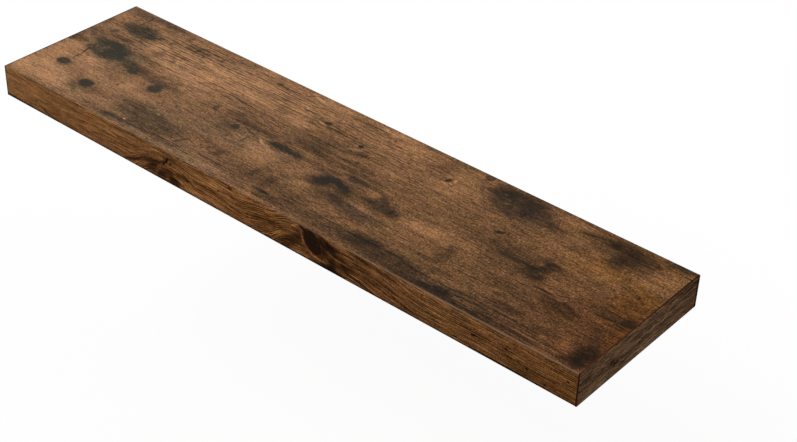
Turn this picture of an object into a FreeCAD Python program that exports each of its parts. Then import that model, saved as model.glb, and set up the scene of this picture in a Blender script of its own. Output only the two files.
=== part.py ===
import FreeCAD, Part

import math
import os
import re

import Sketcher

# A hollow-core wall shelf on a concealed rod bracket.
# Frame: +X to the right along the wall, +Y towards the wall, +Z up, in millimetres. The origin is
# on the wall plane, at the centre of the bracket plate's back face. The board is centred on it in
# X and Z, and reaches from the wall plane to its front edge at -shelf_depth.

Vector = FreeCAD.Vector

# Driving dimensions: name, value, meaning
SIZES = [
    # the whole board
    ("shelf_length", 800, "board along the wall"),
    ("shelf_depth", 200, "board from the wall to its front edge"),
    ("shelf_height", 38, "thickness of the board"),
    # skins and bands
    ("skin_thick", 3, "top and bottom fibreboard panels"),
    ("foil_thick", 0.3, "decor foil on the panels"),
    ("front_band_thick", 1, "edge band on the long front edge"),
    ("end_band_thick", 2, "edge band on each end"),
    ("front_arris_radius", 0.4, "rounding of the front band's long outer edges"),
    ("end_arris_radius", 0.8, "rounding of the end bands' outer edges"),
    # frame inside the board
    ("front_rail_width", 30, "front rail, front to back"),
    ("rear_rail_width", 30, "rear rail, front to back"),
    ("end_rail_width", 30, "end rails, along the length"),
    ("block_width", 50, "rod blocks, along the length"),
    # paper honeycomb
    ("cell_width", 25, "honeycomb cell across its flats, about"),
    ("paper_thick", 0.5, "paper of the honeycomb"),
    ("core_gap", 0.3, "between a honeycomb core and the frame around it"),
    # bracket
    ("plate_thick", 4, "bracket plate, flat bar"),
    ("plate_corner_radius", 3, "rounded corners of the bracket plate"),
    ("plate_gap", 1, "between the plate's front and the rear rail"),
    ("plate_edge_gap", 1.7, "between the plate and the panels above and below it"),
    ("plate_end_gap", 68, "between the plate's ends and the end rails"),
    ("plate_overhang", 50, "plate beyond the axis of an outer rod"),
    ("wall_hole_inset", 20, "outer wall-screw holes, from the plate's ends"),
    ("wall_hole_width", 5.5, "wall-screw hole, diameter at the wall"),
    ("wall_sink_width", 10.5, "countersink of a wall-screw hole, diameter"),
    ("rod_diameter", 12, "bracket rods"),
    ("rod_bevel", 1, "bevel at a rod's tip"),
    ("weld_leg", 2, "weld bead around the foot of a rod"),
    # bores for the rods
    ("bore_gap", 0.2, "between a rod and its bore, all round"),
    ("bore_end_gap", 4, "between a rod's tip and the end of its bore"),
    ("bore_end_wall", 15, "wood between the end of a bore and the front rail"),
    ("weld_gap", 0.5, "between a weld bead and the mouth of its bore"),
    # locking screws and their inserts
    ("lock_setback", 60, "locking screws, from the wall plane"),
    ("screw_diameter", 6, "locking screw over its thread"),
    ("screw_recess", 2.9, "from the underside up to a clamped screw"),
    ("screw_bevel", 0.6, "bevel at both ends of a locking screw"),
    ("socket_width", 3, "hexagon socket across its flats"),
    ("socket_depth", 4, "hexagon socket"),
    ("tip_gap", 0.1, "between a clamped screw's tip and its rod"),
    ("thread_gap", 0.15, "between a locking screw and its insert, all round"),
    ("insert_diameter", 10, "threaded insert over its ridges"),
    ("insert_ridge", 0.7, "height of the ridges on an insert"),
    ("insert_wall", 1.8, "wood between an insert and the bore above it"),
    ("insert_gap", 0.05, "between an insert and the wood around it"),
    ("insert_end_gap", 0.4, "between an insert's inner end and the wood"),
    ("flange_diameter", 14, "flange of an insert"),
    ("flange_thick", 1, "flange of an insert"),
]
RIDGES = 4
HEXAGON = 6
COUNTERSINK_ANGLE = 90
FULL_TURN = 360

# Lengths and places that follow from the driving dimensions, as expressions
HALF_LENGTH = "(shelf_length / 2)"
HALF_HEIGHT = "(shelf_height / 2)"
INNER_END = "(shelf_length / 2 - end_band_thick)"
INNER_FRONT = "(shelf_depth - front_band_thick)"
HALF_PANEL = "(shelf_height / 2 - foil_thick)"
HALF_CORE = "(shelf_height / 2 - foil_thick - skin_thick)"
RAIL_END = f"({INNER_END} - end_rail_width)"
BAY_FRONT = f"({INNER_FRONT} - front_rail_width)"
GROOVE_DEPTH = "(plate_thick + plate_gap)"
BAY_REAR = f"({GROOVE_DEPTH} + rear_rail_width)"
PLATE_END = f"({RAIL_END} - plate_end_gap)"
ROD_OFFSET = f"({PLATE_END} - plate_overhang)"
BORE_END = f"({BAY_FRONT} - bore_end_wall)"
ROD_LENGTH = f"({BORE_END} - bore_end_gap - plate_thick)"
ROD_RADIUS = "(rod_diameter / 2)"
BORE_RADIUS = f"({ROD_RADIUS} + bore_gap)"
SCREW_TOP = f"({ROD_RADIUS} + tip_gap)"
SCREW_LENGTH = f"({HALF_HEIGHT} - screw_recess - {SCREW_TOP})"
SCREW_RADIUS = "(screw_diameter / 2)"
THREAD_RADIUS = f"({SCREW_RADIUS} + thread_gap)"
INSERT_RADIUS = "(insert_diameter / 2)"
INSERT_TOP = f"({BORE_RADIUS} + insert_wall)"
INSERT_LENGTH = f"({HALF_HEIGHT} - {INSERT_TOP})"
INSERT_HOLE_RADIUS = f"({INSERT_RADIUS} + insert_gap)"
FLANGE_HOLE_RADIUS = "(flange_diameter / 2 + insert_gap)"

FRAME_HEIGHT = (f"-{HALF_CORE}", HALF_CORE)
SIDES = {"left": "-", "right": ""}
RODS = {"left": f"-{ROD_OFFSET}", "centre": "0", "right": ROD_OFFSET}

doc = FreeCAD.newDocument("wall_shelf")
sheet = doc.addObject("Spreadsheet::Sheet", "Sizes")
for row, (name, value, meaning) in enumerate(SIZES, 1):
    sheet.set(f"A{row}", name)
    sheet.set(f"B{row}", str(value))
    sheet.setAlias(f"B{row}", name)
    sheet.set(f"C{row}", meaning)
doc.recompute()

NAMES = re.compile(r"\b(" + "|".join(name for name, value, meaning in SIZES) + r")\b")
sub_parts = []


def rule(text):
    """The expression that reads each named size of text from the sheet."""
    return NAMES.sub(r"Sizes.\1", text)


def size(name):
    """The value of a named size."""
    return float(sheet.get(name))


# Bodies, sketches and features


def new_body(label):
    """A sub-part as a body, whose label names its file."""
    body = doc.addObject("PartDesign::Body", label)
    body.Label = label
    sub_parts.append(body)
    return body


def place(body, x="0", y="0", z="0"):
    """Bind the place of a body to named sizes."""
    for axis, text in zip("xyz", (x, y, z)):
        body.setExpression(f".Placement.Base.{axis}", rule(text))


def new_sketch(body, role, name, offset="0"):
    """A sketch on one of the body's own origin planes, moved by offset along the plane's normal."""
    sketch = body.newObject("Sketcher::SketchObject", name)
    plane = next(feature for feature in body.Origin.OriginFeatures if feature.Role == role)
    sketch.AttachmentSupport = [(plane, "")]
    sketch.MapMode = "FlatFace"
    sketch.setExpression(".AttachmentOffset.Base.z", rule(offset))
    return sketch


def constrain(sketch, kind, elements, drawn, text):
    """A dimension bound to named sizes; drawn is its value before they apply."""
    number = sketch.addConstraint(Sketcher.Constraint(kind, *elements, drawn))
    sketch.setExpression(f"Constraints[{number}]", rule(text))


def draw_polygon(sketch, corners):
    """A closed outline, drawn on a unit circle and taken to its corners by its dimensions."""
    count = len(corners)
    turns = [math.radians(FULL_TURN * number / count) for number in range(count)]
    drawn = [Vector(math.cos(turn), math.sin(turn), 0) for turn in turns]
    for number in range(count):
        sketch.addGeometry(Part.LineSegment(drawn[number], drawn[(number + 1) % count]), False)
    for number in range(count):
        sketch.addConstraint(Sketcher.Constraint("Coincident", number, 2, (number + 1) % count, 1))
    for number, (across, up) in enumerate(corners):
        constrain(sketch, "DistanceX", (-1, 1, number, 1), drawn[number].x, across)
        constrain(sketch, "DistanceY", (-1, 1, number, 1), drawn[number].y, up)


def draw_rectangle(sketch, x_span, y_span):
    """A rectangle between named planes."""
    (left, right), (low, high) = x_span, y_span
    draw_polygon(sketch, [(left, low), (right, low), (right, high), (left, high)])


def draw_circle(sketch, x, y, radius):
    """A circle with a named centre and radius, drawn as a unit circle."""
    number = sketch.addGeometry(Part.Circle(Vector(1, 1, 0), Vector(0, 0, 1), 1), False)
    constrain(sketch, "DistanceX", (-1, 1, number, 3), 1, x)
    constrain(sketch, "DistanceY", (-1, 1, number, 3), 1, y)
    constrain(sketch, "Radius", (number,), 1, radius)


def pad(body, sketch, length):
    """Extrude a sketch along its normal."""
    feature = body.newObject("PartDesign::Pad", f"{sketch.Name}_pad")
    feature.Profile = sketch
    feature.setExpression("Length", rule(length))
    doc.recompute()
    return feature


def pocket(body, sketch, length):
    """Cut a sketch out of a body, along the sketch's normal."""
    before = body.Shape.Volume
    feature = body.newObject("PartDesign::Pocket", f"{sketch.Name}_pocket")
    feature.Profile = sketch
    feature.Reversed = True
    feature.setExpression("Length", rule(length))
    doc.recompute()
    if body.Shape.Volume >= before:
        raise RuntimeError(f"{feature.Name} cuts nothing")


def drill(body, sketch, diameter, sink, along_normal):
    """Countersunk holes right through a body, at the circles of a sketch."""
    doc.recompute()
    hole = body.newObject("PartDesign::Hole", f"{sketch.Name}_holes")
    hole.Profile = sketch
    hole.Reversed = along_normal
    hole.DepthType = "ThroughAll"
    hole.setExpression("Diameter", rule(diameter))
    hole.HoleCutType = "Countersink"
    hole.HoleCutCustomValues = True
    hole.setExpression("HoleCutDiameter", rule(sink))
    hole.HoleCutCountersinkAngle = COUNTERSINK_ANGLE
    doc.recompute()


def turn(body, role, name, profile, axis):
    """Turn a profile about one of its sketch's axes."""
    sketch = new_sketch(body, role, name)
    draw_polygon(sketch, profile)
    feature = body.newObject("PartDesign::Revolution", f"{name}_turn")
    feature.Profile = sketch
    feature.ReferenceAxis = (sketch, [axis])
    feature.Angle = FULL_TURN
    doc.recompute()


def round_edges(body, chosen, radius):
    """Round the edges of a body that the test chosen picks."""
    tip = body.Tip
    edges = [f"Edge{number}" for number, edge in enumerate(tip.Shape.Edges, 1) if chosen(edge)]
    feature = body.newObject("PartDesign::Fillet", f"{body.Name}_rounding")
    feature.Base = (tip, edges)
    feature.setExpression("Radius", rule(radius))
    doc.recompute()


def furthest_face(shape, direction):
    """The face whose centre lies furthest in a direction."""
    return max(shape.Faces, key=lambda face: face.CenterOfMass.dot(direction))


def runs_along(edge, axis):
    """Whether an edge is parallel to an axis."""
    return round(abs(edge.tangentAt(edge.FirstParameter).dot(axis)), 6) == 1


# Skins, foils and bands


def make_board(label, x_span, y_span, z_span):
    """A plain board between named planes."""
    body = new_body(label)
    low, high = z_span
    sketch = new_sketch(body, "XY_Plane", f"{label}_outline", low)
    draw_rectangle(sketch, x_span, y_span)
    pad(body, sketch, f"{high} - ({low})")
    return body


def insert_circles(body, name, level, radius):
    """A sketch at a level below the board's middle, with a circle at each locking screw."""
    sketch = new_sketch(body, "XY_Plane", name, f"-{level}")
    for sign in SIDES.values():
        draw_circle(sketch, f"{sign}{ROD_OFFSET}", "-lock_setback", radius)
    return sketch


def make_skins():
    """Fibreboard panels and their decor foils; the lower ones are drilled for the inserts."""
    plan = (f"-{INNER_END}", INNER_END), (f"-{INNER_FRONT}", "0")
    make_board("top_panel", *plan, (HALF_CORE, HALF_PANEL))
    make_board("top_decor", *plan, (HALF_PANEL, HALF_HEIGHT))
    panel = make_board("bottom_panel", *plan, (f"-{HALF_PANEL}", f"-{HALF_CORE}"))
    recess = insert_circles(panel, "flange_recesses", HALF_PANEL, FLANGE_HOLE_RADIUS)
    pocket(panel, recess, "flange_thick - foil_thick")
    hole = insert_circles(panel, "insert_holes", HALF_PANEL, INSERT_HOLE_RADIUS)
    pocket(panel, hole, "skin_thick")
    foil = make_board("bottom_decor", *plan, (f"-{HALF_HEIGHT}", f"-{HALF_PANEL}"))
    hole = insert_circles(foil, "flange_holes", HALF_HEIGHT, FLANGE_HOLE_RADIUS)
    pocket(foil, hole, "foil_thick")


def make_bands():
    """Edge bands: one along the front between the two that cover the whole ends."""
    height = (f"-{HALF_HEIGHT}", HALF_HEIGHT)
    front = ("-shelf_depth", f"-{INNER_FRONT}")
    body = make_board("front_edge_band", (f"-{INNER_END}", INNER_END), front, height)
    face = furthest_face(body.Tip.Shape, Vector(0, -1, 0))
    long_edges = [edge for edge in face.Edges if runs_along(edge, Vector(1, 0, 0))]
    round_edges(body, lambda edge: any(edge.isSame(each) for each in long_edges), "front_arris_radius")
    ends = {"left": (f"-{HALF_LENGTH}", f"-{INNER_END}"), "right": (INNER_END, HALF_LENGTH)}
    for side, thickness in ends.items():
        body = make_board(f"{side}_edge_band", thickness, ("-shelf_depth", "0"), height)
        outward = Vector(-1 if side == "left" else 1, 0, 0)
        outer = furthest_face(body.Tip.Shape, outward).Edges
        round_edges(body, lambda edge: any(edge.isSame(each) for each in outer), "end_arris_radius")


# Frame and cores inside the board


def make_rails():
    """Front, rear and end rails. The rear one leaves a groove at the wall for the bracket plate."""
    front = (f"-{INNER_FRONT}", f"-{BAY_FRONT}")
    make_board("front_rail", (f"-{INNER_END}", INNER_END), front, FRAME_HEIGHT)
    side = (f"-{BAY_FRONT}", "0")
    make_board("left_end_rail", (f"-{INNER_END}", f"-{RAIL_END}"), side, FRAME_HEIGHT)
    make_board("right_end_rail", (RAIL_END, INNER_END), side, FRAME_HEIGHT)
    rear = (f"-{BAY_REAR}", f"-{GROOVE_DEPTH}")
    body = make_board("rear_rail", (f"-{RAIL_END}", RAIL_END), rear, FRAME_HEIGHT)
    centres = new_sketch(body, "XZ_Plane", "rail_bores", GROOVE_DEPTH)
    for x in RODS.values():
        draw_circle(centres, x, "0", BORE_RADIUS)
    drill(body, centres, f"2 * {BORE_RADIUS}", f"2 * ({BORE_RADIUS} + weld_leg + weld_gap)", True)


def make_rod_block(side, x):
    """Rod block between the rails, with the blind bore that takes a rod."""
    width = ("-block_width / 2", "block_width / 2")
    body = make_board(f"rod_block_{side}", width, (f"-{BAY_FRONT}", f"-{BAY_REAR}"), FRAME_HEIGHT)
    bore = new_sketch(body, "XZ_Plane", f"rod_bore_{side}", BAY_REAR)
    draw_circle(bore, "0", "0", BORE_RADIUS)
    pocket(body, bore, f"{BORE_END} - {BAY_REAR}")
    if side in SIDES:
        hole = new_sketch(body, "XY_Plane", f"insert_hole_{side}", f"-{HALF_CORE}")
        draw_circle(hole, "0", "-lock_setback", INSERT_HOLE_RADIUS)
        pocket(body, hole, f"{HALF_CORE} - {INSERT_TOP} + insert_end_gap")
        hole = new_sketch(body, "XY_Plane", f"screw_hole_{side}", f"-{HALF_CORE}")
        draw_circle(hole, "0", "-lock_setback", THREAD_RADIUS)
        pocket(body, hole, HALF_CORE)
    place(body, x)
    return body


def paper_ribbon(length, rise, thick, periods, starts_high):
    """Outline of one paper ribbon folded along X in half hexagons, as a closed polygon."""
    period_length = length / periods
    slope = math.atan2(rise, period_length / HEXAGON)
    mitre = thick / 2 * math.tan(slope / 2)
    near, far = (rise / 2, -rise / 2) if starts_high else (-rise / 2, rise / 2)
    climb = math.copysign(mitre, far - near)
    # where each flat ends, in sixths of a period, with its level and the mitre of its fold
    folds = [(1, near, climb), (2, far, climb), (4, far, -climb), (5, near, -climb)]
    line = [(0, near, 0)]
    for period in range(periods):
        for sixth, level, fold in folds:
            line.append(((period + sixth / HEXAGON) * period_length, level, fold))
    line.append((length, near, 0))
    upper = [Vector(x - fold, level + thick / 2, 0) for x, level, fold in line]
    lower = [Vector(x + fold, level - thick / 2, 0) for x, level, fold in line]
    return upper + lower[::-1] + upper[:1]


def make_core(label, left, right, front, rear):
    """Paper honeycomb in one bay: folded ribbons whose flats touch, from skin to skin."""
    gap = size("core_gap")
    paper = size("paper_thick")
    length = right.XMin - left.XMax - 2 * gap
    depth = rear.YMin - front.YMax - 2 * gap
    rows = round(depth / (size("cell_width") / 2 + paper))
    rise = depth / rows - paper
    periods = max(1, round(length / (rise * math.sqrt(3))))
    height = Vector(0, 0, front.ZLength)
    ribbons = []
    for row in range(rows):
        outline = paper_ribbon(length, rise, paper, periods, row % 2 == 1)
        ribbon = Part.Face(Part.makePolygon(outline)).extrude(height)
        ribbon.translate(Vector(0, (row + 1 / 2) * depth / rows, 0))
        ribbons.append(ribbon)
    core = doc.addObject("Part::Feature", label)
    core.Label = label
    core.Shape = Part.makeCompound(ribbons)
    core.Placement.Base = Vector(left.XMax + gap, front.YMax + gap, front.ZMin)
    sub_parts.append(core)


def box_of(label):
    """Bounding box of a finished sub-part."""
    return next(part for part in sub_parts if part.Label == label).Shape.BoundBox


def make_cores():
    """One honeycomb in each bay between the end rails and the rod blocks."""
    walls = ["left_end_rail", "rod_block_left", "rod_block_centre", "rod_block_right", "right_end_rail"]
    names = ["left_end", "left", "right", "right_end"]
    front = box_of("front_rail")
    rear = box_of("rear_rail")
    for name, left, right in zip(names, walls, walls[1:]):
        make_core(f"honeycomb_core_{name}", box_of(left), box_of(right), front, rear)


# Locking screws and their inserts


def make_insert(side, x):
    """Threaded insert: a flanged sleeve with ridges, flush with the underside."""
    body = new_body(f"threaded_insert_{side}")
    pitch = f"(({INSERT_LENGTH} - flange_thick) / {RIDGES})"
    root = f"({INSERT_RADIUS} - insert_ridge)"
    profile = [(THREAD_RADIUS, "0"), ("flange_diameter / 2", "0"), ("flange_diameter / 2", "flange_thick")]
    for ridge in range(RIDGES):
        start = f"flange_thick + {ridge} * {pitch}"
        profile += [
            (root, start),
            (INSERT_RADIUS, f"{start} + {pitch} / 4"),
            (INSERT_RADIUS, f"{start} + {pitch} / 2"),
            (root, f"{start} + {pitch} * 3 / 4"),
        ]
    profile += [(root, INSERT_LENGTH), (THREAD_RADIUS, INSERT_LENGTH)]
    turn(body, "XZ_Plane", f"insert_section_{side}", profile, "V_Axis")
    place(body, x, "-lock_setback", f"-{HALF_HEIGHT}")


def make_screw(side, x):
    """Locking screw: a headless screw with a hexagon socket at its lower end."""
    body = new_body(f"lock_screw_{side}")
    profile = [
        ("0", "0"),
        ("0", f"-{SCREW_LENGTH}"),
        (f"{SCREW_RADIUS} - screw_bevel", f"-{SCREW_LENGTH}"),
        (SCREW_RADIUS, f"screw_bevel - {SCREW_LENGTH}"),
        (SCREW_RADIUS, "-screw_bevel"),
        (f"{SCREW_RADIUS} - screw_bevel", "0"),
    ]
    turn(body, "XZ_Plane", f"screw_section_{side}", profile, "V_Axis")
    socket = new_sketch(body, "XY_Plane", f"socket_{side}", f"-{SCREW_LENGTH}")
    turns = [FULL_TURN * corner / HEXAGON for corner in range(HEXAGON)]
    corner_radius = "socket_width / sqrt(3)"
    corners = [(f"{corner_radius} * cos({turn})", f"{corner_radius} * sin({turn})") for turn in turns]
    draw_polygon(socket, corners)
    pocket(body, socket, "socket_depth")
    place(body, x, "-lock_setback", f"-{SCREW_TOP}")


# Bracket


def make_plate():
    """Bracket plate: a flat bar with countersunk holes for the wall screws."""
    body = new_body("bracket_plate")
    half_height = f"({HALF_CORE} - plate_edge_gap)"
    outline = new_sketch(body, "XZ_Plane", "plate_outline")
    draw_rectangle(outline, (f"-{PLATE_END}", PLATE_END), (f"-{half_height}", half_height))
    pad(body, outline, "plate_thick")
    round_edges(body, lambda edge: runs_along(edge, Vector(0, 1, 0)), "plate_corner_radius")
    centres = new_sketch(body, "XZ_Plane", "wall_screws", "plate_thick")
    for sign in SIDES.values():
        draw_circle(centres, f"{sign}{ROD_OFFSET} / 2", "0", "wall_hole_width / 2")
        draw_circle(centres, f"{sign}({PLATE_END} - wall_hole_inset)", "0", "wall_hole_width / 2")
    drill(body, centres, "wall_hole_width", "wall_sink_width", False)


def make_rod(side, x):
    """Bracket rod with the weld bead at its foot and a bevelled tip."""
    body = new_body(f"bracket_rod_{side}")
    profile = [
        ("0", "0"),
        (f"-{ROD_LENGTH}", "0"),
        (f"-{ROD_LENGTH}", f"{ROD_RADIUS} - rod_bevel"),
        (f"rod_bevel - {ROD_LENGTH}", ROD_RADIUS),
        ("-weld_leg", ROD_RADIUS),
        ("0", f"{ROD_RADIUS} + weld_leg"),
    ]
    turn(body, "YZ_Plane", f"rod_section_{side}", profile, "H_Axis")
    place(body, x, "-plate_thick")


def write_sub_parts():
    """Check every object and every shape, then write one file per sub-part."""
    for thing in doc.Objects:
        if "Invalid" in thing.State or "Error" in thing.State:
            raise RuntimeError(f"{thing.Name} failed: {thing.State}")
    for part in sub_parts:
        if part.Shape.isNull() or not part.Shape.isValid() or not part.Shape.Solids:
            raise RuntimeError(f"{part.Label} has no valid solid")
    os.makedirs("parts", exist_ok=True)
    for part in sub_parts:
        part.Shape.exportStep(f"parts/{part.Label}.step")
        print(part.Label, len(part.Shape.Solids), round(part.Shape.Volume), part.Shape.BoundBox)


make_skins()
make_bands()
make_rails()
for rod, rod_x in RODS.items():
    make_rod_block(rod, rod_x)
    make_rod(rod, rod_x)
make_cores()
for side in SIDES:
    make_insert(side, RODS[side])
    make_screw(side, RODS[side])
make_plate()
doc.recompute()
write_sub_parts()
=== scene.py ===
import math

import bmesh
import bpy
from mathutils import Matrix, Vector


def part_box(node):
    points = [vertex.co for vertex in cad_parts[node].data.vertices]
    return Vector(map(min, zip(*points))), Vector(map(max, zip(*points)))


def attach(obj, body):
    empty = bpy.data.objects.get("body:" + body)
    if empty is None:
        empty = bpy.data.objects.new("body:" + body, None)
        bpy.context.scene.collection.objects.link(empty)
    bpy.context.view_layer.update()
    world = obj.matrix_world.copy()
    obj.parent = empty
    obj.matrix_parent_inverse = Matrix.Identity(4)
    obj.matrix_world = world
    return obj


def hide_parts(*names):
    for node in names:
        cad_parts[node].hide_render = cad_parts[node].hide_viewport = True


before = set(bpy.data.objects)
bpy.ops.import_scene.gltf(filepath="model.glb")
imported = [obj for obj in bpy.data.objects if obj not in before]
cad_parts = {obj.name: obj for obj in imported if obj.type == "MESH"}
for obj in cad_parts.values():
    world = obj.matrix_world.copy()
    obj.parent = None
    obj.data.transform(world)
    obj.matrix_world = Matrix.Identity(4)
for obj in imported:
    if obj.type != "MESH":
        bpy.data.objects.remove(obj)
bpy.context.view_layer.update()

# Lengths are in metres, or else in millimetres or hundredths where it says so
MM = 0.001
HUNDREDTH = 0.01

# Sizes of the shelf, from the frame
shelf_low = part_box("left_edge_band")[0]
shelf_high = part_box("right_edge_band")[1]
LENGTH = shelf_high.x - shelf_low.x
DEPTH = shelf_high.y - shelf_low.y
THICKNESS = shelf_high.z - shelf_low.z
PLATE_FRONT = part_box("bracket_plate")[0].y

# Roundings of the outer arrises, the same as on the pieces in the frame
FRONT_ROUNDING = 0.4 * MM
END_ROUNDING = 0.8 * MM
ARC_STEPS = 6

# Shifts of the noise, so that no two decors are alike
TOP_SHIFT, BOTTOM_SHIFT, BROAD_HUE_SHIFT = 0.0, 31.0, 23.0
FRONT_SHIFT, FRONT_HUE_SHIFT = 43.0, 61.0
END_SHIFT, END_HUE_SHIFT = 71.0, 83.0


def tone(red, green, blue):
    """A colour as a screen shows it, in steps of 0 to 255, as the linear colour that nodes take."""
    steps = [value / 255 for value in (red, green, blue)]
    return tuple(s / 12.92 if s <= 0.04045 else ((s + 0.055) / 1.055) ** 2.4 for s in steps)


class Graph:
    """A node tree under construction. Each node is made after the ones that feed it."""

    def __init__(self, tree, owner=None):
        self.tree = tree
        self.owner = owner

    def add(self, kind, inputs=(), **settings):
        node = self.tree.nodes.new("ShaderNode" + kind)
        for name, value in settings.items():
            setattr(node, name, value)
        for key, value in dict(inputs).items():
            self.feed(node.inputs[key], value)
        return node

    def feed(self, socket, value):
        """Links a socket or sets its value. A colour's value comes without its opacity."""
        if isinstance(value, bpy.types.NodeSocket):
            self.tree.links.new(value, socket)
        else:
            socket.default_value = (*value, 1.0) if socket.type == "RGBA" else value

    def math(self, operation, *values, clamp=False):
        return self.add("Math", enumerate(values), operation=operation, use_clamp=clamp).outputs[0]

    def weigh(self, start, *terms):
        """start plus each value times its weight."""
        for value, weight in terms:
            start = self.math("MULTIPLY_ADD", value, weight, start)
        return start

    def vector(self, operation, *values):
        return self.add("VectorMath", enumerate(values), operation=operation).outputs[0]

    def dot(self, first, second):
        return self.add("VectorMath", {0: first, 1: second}, operation="DOT_PRODUCT").outputs["Value"]

    def between(self, value, start, end, to_start=0.0, to_end=1.0):
        """Goes smoothly from to_start at start to to_end at end."""
        sockets = enumerate((value, start, end, to_start, to_end))
        return self.add("MapRange", sockets, interpolation_type="SMOOTHSTEP", clamp=False).outputs[0]

    def stretch(self, value, start, end, to_start=0.0, to_end=1.0):
        """Goes straight from to_start at start to to_end at end, and stays there."""
        return self.add("MapRange", enumerate((value, start, end, to_start, to_end))).outputs[0]

    def noise(self, place, detail=2.0, roughness=0.5, colour=False):
        inputs = {"Vector": place, "Scale": 1.0, "Detail": detail, "Roughness": roughness}
        return self.add("TexNoise", inputs).outputs[1 if colour else 0]

    def cells(self, place):
        """A random colour for each cell."""
        return self.add("TexVoronoi", {"Vector": place, "Scale": 1.0}).outputs["Color"]

    def ramp(self, value, stops):
        node = self.add("ValToRGB", {0: value})
        entries = node.color_ramp.elements
        while len(entries) < len(stops):
            entries.new(1.0)
        for entry, (position, colour) in zip(entries, stops):
            entry.position = position
            entry.color = (*colour, 1.0)
        return node.outputs[0]

    def mix(self, factor, first, second, blend="MIX"):
        inputs = {0: factor, 6: first, 7: second}
        return self.add("Mix", inputs, data_type="RGBA", blend_type=blend).outputs[2]

    def object_place(self):
        return self.add("TexCoord").outputs["Object"]

    def axes(self, value):
        return self.add("SeparateXYZ", {0: value}).outputs[:3]

    def point(self, *values):
        return self.add("CombineXYZ", enumerate(values)).outputs[0]


def oval(size, along, across, reach_along, reach_across, turn=0):
    """The centre of an oval on a face and its two directions, each divided by its reach. The place and the
    reach are in hundredths of the face's size, and the turn is in degrees."""
    length, width = (side * HUNDREDTH for side in size)
    angle = math.radians(turn)
    lengthwise = Vector((math.cos(angle), math.sin(angle), 0.0)) / (reach_along * length)
    crosswise = Vector((-math.sin(angle), math.cos(angle), 0.0)) / (reach_across * width)
    return (along * length, across * width, 0.0), lengthwise, crosswise


def oval_distance(graph, place, centre, lengthwise, crosswise):
    """How far a place is from an oval's centre, squared, where 1 is its outline, and how far across it."""
    offset = graph.vector("SUBTRACT", place, centre)
    along = graph.dot(offset, lengthwise)
    across = graph.dot(offset, crosswise)
    return graph.math("MULTIPLY_ADD", across, across, graph.math("MULTIPLY", along, along)), across


def mark_tree():
    """A node group that adds one soft-edged oval mark to a total: full at its core, none past its reach."""
    tree = bpy.data.node_groups.new("Mark", "ShaderNodeTree")
    kinds = {"Place": "Vector", "Centre": "Vector", "Lengthwise": "Vector", "Crosswise": "Vector",
             "Core": "Float", "Strength": "Float", "Total": "Float"}
    for name, kind in kinds.items():
        tree.interface.new_socket(name, in_out="INPUT", socket_type="NodeSocket" + kind)
    tree.interface.new_socket("Total", in_out="OUTPUT", socket_type="NodeSocketFloat")
    graph = Graph(tree)
    given = tree.nodes.new("NodeGroupInput").outputs
    squared, _ = oval_distance(graph, *given[:4])
    share = graph.between(squared, 1.0, given["Core"])
    total = graph.weigh(given["Total"], (share, given["Strength"]))
    tree.links.new(total, tree.nodes.new("NodeGroupOutput").inputs[0])
    return tree


MARK = mark_tree()


def add_marks(graph, place, size, marks, core, total, gain=1.0):
    """Adds a table of marks to a total. core is the share of each mark's reach that is at full strength."""
    for strength, ovals in marks.items():
        for shape in ovals:
            centre, lengthwise, crosswise = oval(size, *shape)
            inputs = {"Place": place, "Centre": centre, "Lengthwise": lengthwise, "Crosswise": crosswise,
                      "Core": core * core, "Strength": strength * HUNDREDTH * gain, "Total": total}
            total = graph.add("Group", inputs, node_tree=MARK).outputs[0]
    return total


def wander(graph, place, *steps):
    """The place pushed about by noise. Each step has the size of its swirls and how far they push, in
    millimetres."""
    for step in steps:
        swirl, push = (size * MM for size in step)
        scaled = graph.vector("MULTIPLY", place, (1 / swirl, 1 / swirl, 0.0))
        swing = graph.vector("SUBTRACT", graph.noise(scaled, colour=True), (0.5, 0.5, 0.5))
        place = graph.vector("MULTIPLY_ADD", swing, (2 * push, 2 * push, 0.0), place)
    return place


def face_noise(graph, place, along, across, shift, detail=2.0, roughness=0.5):
    """Noise on a face, with features of this size along and across the grain, in millimetres. Another shift
    gives another noise."""
    scale = (1 / (along * MM), 1 / (across * MM), 0.0)
    spot = graph.vector("MULTIPLY_ADD", place, scale, (shift, shift, shift))
    return graph.noise(spot, detail, roughness)


def object_spot(graph, *sizes):
    """The place on the object, where 1 is this size along each axis, in millimetres."""
    return graph.vector("MULTIPLY", graph.object_place(), tuple(1 / (size * MM) for size in sizes))


def object_noise(graph, sizes, detail=2.0, roughness=0.5):
    """Noise on an object, with features of these sizes along its axes, in millimetres."""
    return graph.noise(object_spot(graph, *sizes), detail, roughness)


def empty_graph(owner):
    """The graph of a material or a world, with no nodes yet."""
    owner.use_nodes = True
    owner.node_tree.nodes.clear()
    return Graph(owner.node_tree, owner)


def new_material(name):
    return empty_graph(bpy.data.materials.new(name))


def finish_material(graph, colour, roughness, height, height_size, strength, more=()):
    """The surface shader, with bumps of height_size millimetres. more has further values of the shader."""
    bump = graph.add("Bump", {"Strength": strength, "Distance": height_size * MM, "Height": height})
    inputs = {"Base Color": colour, "Roughness": roughness, **dict(more), "Normal": bump.outputs[0]}
    shader = graph.add("BsdfPrincipled", inputs)
    graph.add("OutputMaterial", {"Surface": shader.outputs[0]})
    return graph.owner


def even_stops(*screen_tones):
    """Tones at even steps from 0 to 1."""
    last = len(screen_tones) - 1
    return [(index / last, tone(*steps)) for index, steps in enumerate(screen_tones)]


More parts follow.
